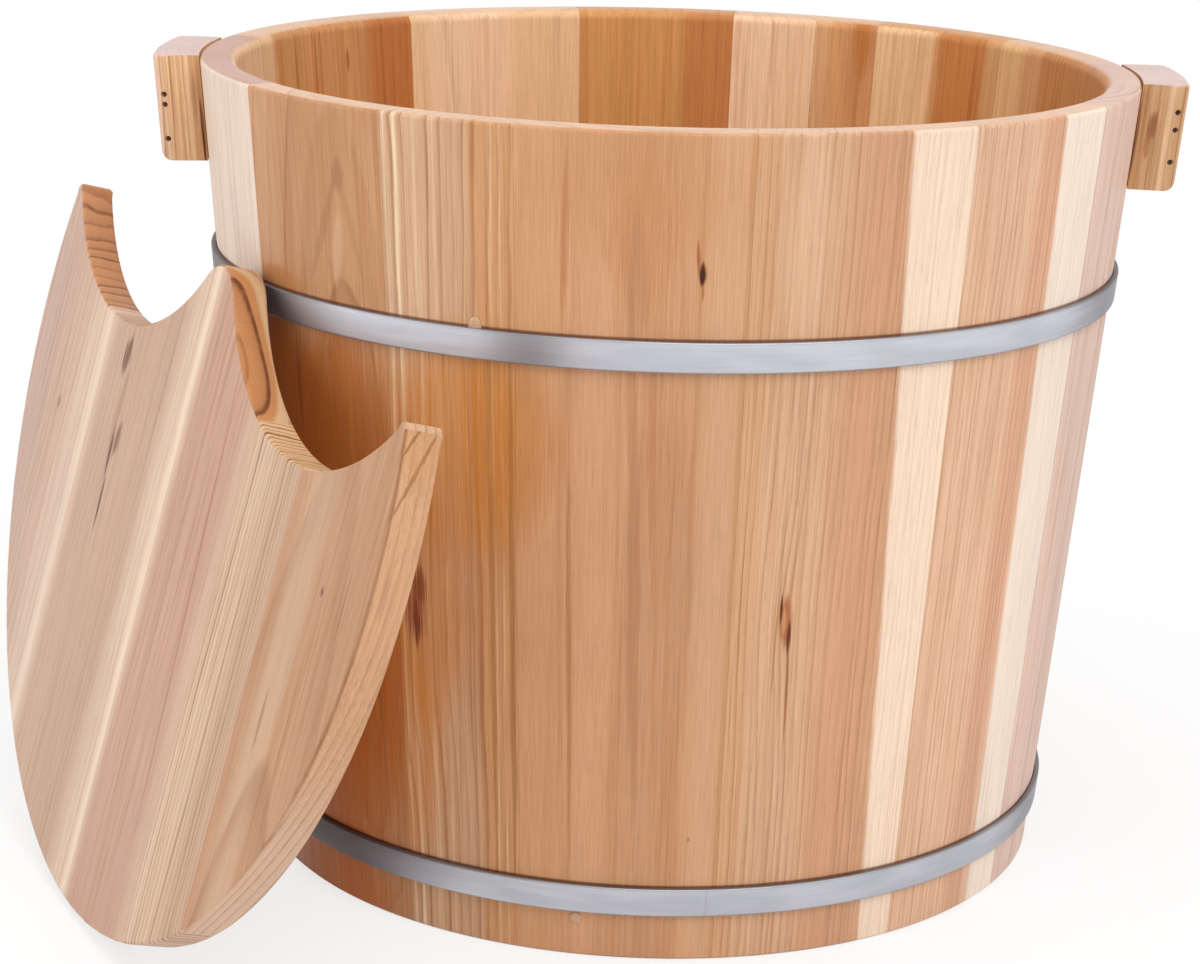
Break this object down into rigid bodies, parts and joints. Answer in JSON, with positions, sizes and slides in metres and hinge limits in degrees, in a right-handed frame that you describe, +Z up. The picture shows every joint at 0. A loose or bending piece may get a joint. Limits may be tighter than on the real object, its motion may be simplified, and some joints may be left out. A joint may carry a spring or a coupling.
{
  "type": "wooden foot bath tub",
  "caption": "Coopered cedar foot bath tub with flat steel hoops, ear grips at the rim and a round board lid with leg scallops that leans against the upper hoop",
  "frame": {"origin": "Middle of the footprint of tub and leaning lid together, on the floor", "axes": "+X from the left ear to the right ear, +Y from the front to the back, +Z up"},
  "size_m": [0.516, 0.5068, 0.34],
  "materials": {
    "tan_wood": "sanded, satin",
    "rose_wood": "sanded, satin",
    "red_wood": "sanded, satin",
    "cream_wood": "sanded, satin",
    "pale_wood": "sanded, satin",
    "bamboo": "raw",
    "hoop_steel": "satin",
    "nail_steel": "dark, oxidised"
  },
  "bodies": {
    "tub": {"stave_01": "tan_wood", "stave_02": "tan_wood", "stave_03": "tan_wood", "stave_04": "rose_wood", "stave_05": "rose_wood", "stave_06": "pale_wood", "stave_07": "pale_wood", "stave_08": "tan_wood", "stave_09": "rose_wood", "stave_10": "cream_wood", "stave_11": "red_wood", "stave_12": "cream_wood", "stave_13": "red_wood", "stave_14": "tan_wood", "stave_15": "tan_wood", "stave_16": "pale_wood", "bottom_board_1": "tan_wood", "bottom_board_2": "tan_wood", "bottom_board_3": "tan_wood", "bottom_board_4": "tan_wood", "bottom_board_5": "tan_wood", "upper_hoop": "hoop_steel", "lower_hoop": "hoop_steel", "left_ear": "tan_wood", "right_ear": "tan_wood", "left_ear_brad_1": "nail_steel", "left_ear_brad_2": "nail_steel", "left_ear_brad_3": "nail_steel", "right_ear_brad_1": "nail_steel", "right_ear_brad_2": "nail_steel", "right_ear_brad_3": "nail_steel", "seam_pin_01": "bamboo", "seam_pin_02": "bamboo", "seam_pin_03": "bamboo", "seam_pin_04": "bamboo", "seam_pin_05": "bamboo", "seam_pin_06": "bamboo", "seam_pin_07": "bamboo", "seam_pin_08": "bamboo", "seam_pin_09": "bamboo", "seam_pin_10": "bamboo", "seam_pin_11": "bamboo", "seam_pin_12": "bamboo", "seam_pin_13": "bamboo", "seam_pin_14": "bamboo", "seam_pin_15": "bamboo", "seam_pin_16": "bamboo", "bottom_pin_1": "bamboo", "bottom_pin_2": "bamboo", "bottom_pin_3": "bamboo", "bottom_pin_4": "bamboo"},
    "lid": {"lid_board_1": "rose_wood", "lid_board_2": "tan_wood", "lid_board_3": "rose_wood", "lid_board_4": "cream_wood", "lid_board_5": "tan_wood", "lid_pin_1": "bamboo", "lid_pin_2": "bamboo", "lid_pin_3": "bamboo", "lid_pin_4": "bamboo"}
  },
  "joints": [
    {"name": "lid_away", "type": "slide", "parent": "tub", "child": "lid", "axis": [-0.8556, -0.453, 0.2504], "range_m": [0, 0.3]}
  ]
}
